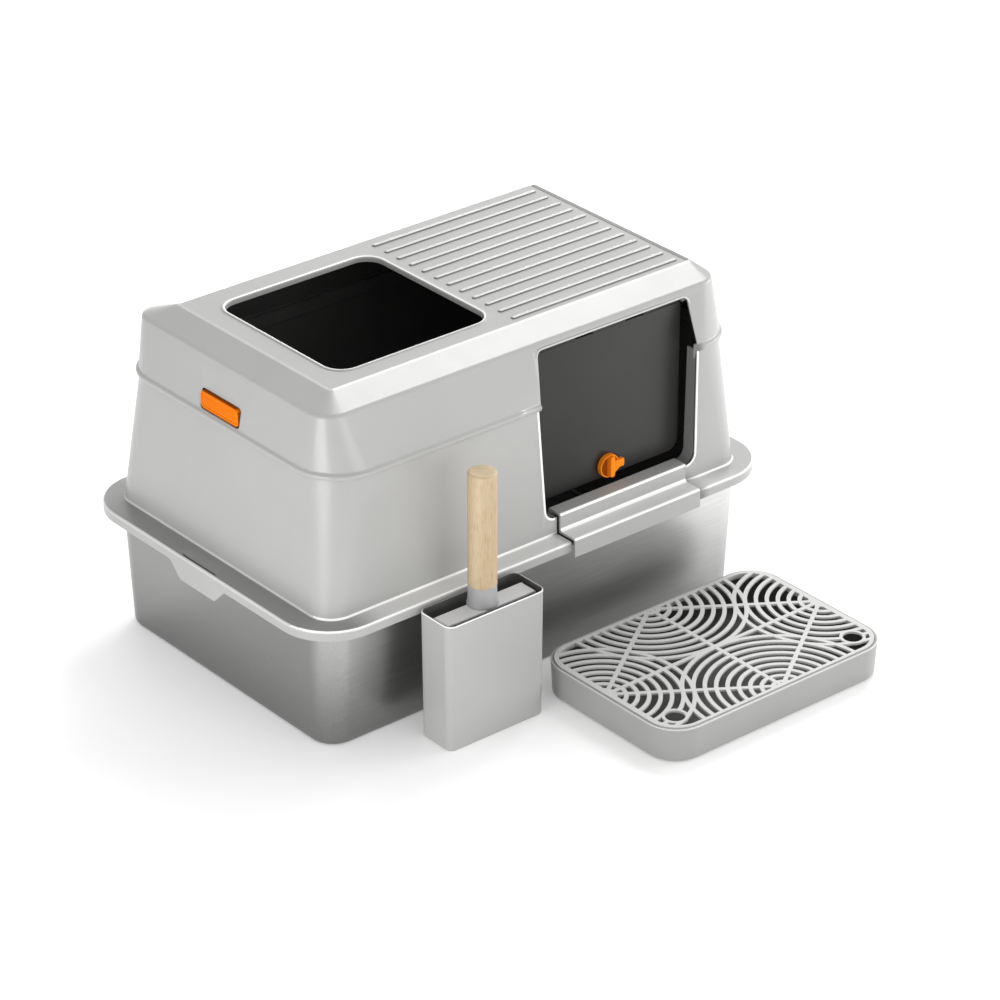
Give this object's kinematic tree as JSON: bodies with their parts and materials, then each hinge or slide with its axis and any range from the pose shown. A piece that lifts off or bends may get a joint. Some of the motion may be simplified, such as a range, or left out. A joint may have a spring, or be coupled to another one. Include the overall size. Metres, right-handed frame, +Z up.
{
  "type": "hooded cat litter box",
  "caption": "Covered litter box: steel tray, lift-off enclosure and hood with top entry and front flap, plus scoop in its holder and a grated foot mat.",
  "frame": {"origin": "centre of the steel tray's underside", "axes": "+X along the long side towards the end with the front flap, -Y towards the front side, +Z up"},
  "size_m": [0.6, 0.6183, 0.3672],
  "materials": {
    "body_plastic": "fine grained light grey moulding",
    "tray_steel": "brushed",
    "smoke_panel": "polished dark smoke",
    "orange_plastic": "satin",
    "inner_plastic": "plain dark grey",
    "pin_steel": "drawn",
    "handle_wood": "sanded beech",
    "scoop_grey": "satin grey",
    "grate_plastic": "off-white moulding",
    "rubber_pad": "soft"
  },
  "bodies": {
    "tray": {"litter_tray": "tray_steel"},
    "enclosure": {"lower_enclosure": "body_plastic"},
    "sill": {"front_sill": "body_plastic"},
    "hood": {"upper_hood": "body_plastic", "hinge_pin": "pin_steel", "hinge_clip_left": "body_plastic", "hinge_clip_right": "body_plastic", "latch_cup_left": "inner_plastic", "latch_cup_right": "inner_plastic", "latch_spring_left": "pin_steel", "latch_spring_right": "pin_steel"},
    "door": {"flap_door": "smoke_panel"},
    "knob": {"door_knob": "orange_plastic", "knob_spindle": "pin_steel", "knob_washer": "inner_plastic"},
    "latch_button_left": {"latch_left": "orange_plastic"},
    "latch_button_right": {"latch_right": "orange_plastic"},
    "holder": {"scoop_holder": "body_plastic"},
    "scoop": {"scoop_handle": "handle_wood", "scoop_ferrule": "scoop_grey", "scoop_blade": "scoop_grey"},
    "mat": {"step_tray": "body_plastic", "step_feet": "rubber_pad"},
    "grate": {"step_grate": "grate_plastic"}
  },
  "joints": [
    {"name": "enclosure_lift", "type": "slide", "parent": "tray", "child": "enclosure", "axis": [0, 0, 1], "range_m": [0, 0.2]},
    {"name": "hood_lift", "type": "slide", "parent": "enclosure", "child": "hood", "axis": [0, 0, 1], "range_m": [0, 0.22]},
    {"name": "sill_pull", "type": "slide", "parent": "enclosure", "child": "sill", "axis": [0, -1, 0], "range_m": [0, 0.06]},
    {"name": "flap_swing", "type": "hinge", "parent": "hood", "child": "door", "pos_m": [0.1065, -0.152, 0.3445], "axis": [1, 0, 0], "range_deg": [-75, 75]},
    {"name": "knob_turn", "type": "hinge", "parent": "door", "child": "knob", "pos_m": [0.1065, -0.152, 0.1865], "axis": [0, 1, 0], "range_deg": [0, 90]},
    {"name": "latch_left_press", "type": "slide", "parent": "hood", "child": "latch_button_left", "axis": [1, 0, 0], "range_m": [0, 0.004], "stiffness_N_per_m": 600},
    {"name": "latch_right_press", "type": "slide", "parent": "hood", "child": "latch_button_right", "axis": [-1, 0, 0], "range_m": [0, 0.004], "stiffness_N_per_m": 600},
    {"name": "holder_slide", "type": "slide", "parent": "tray", "child": "holder", "axis": [0, -1, 0], "range_m": [0, 0.15]},
    {"name": "scoop_lift", "type": "slide", "parent": "holder", "child": "scoop", "axis": [0, 0, 1], "range_m": [0, 0.2]},
    {"name": "mat_slide", "type": "slide", "parent": "tray", "child": "mat", "axis": [0, -1, 0], "range_m": [0, 0.2]},
    {"name": "grate_lift", "type": "slide", "parent": "mat", "child": "grate", "axis": [0, 0, 1], "range_m": [0, 0.08]}
  ]
}
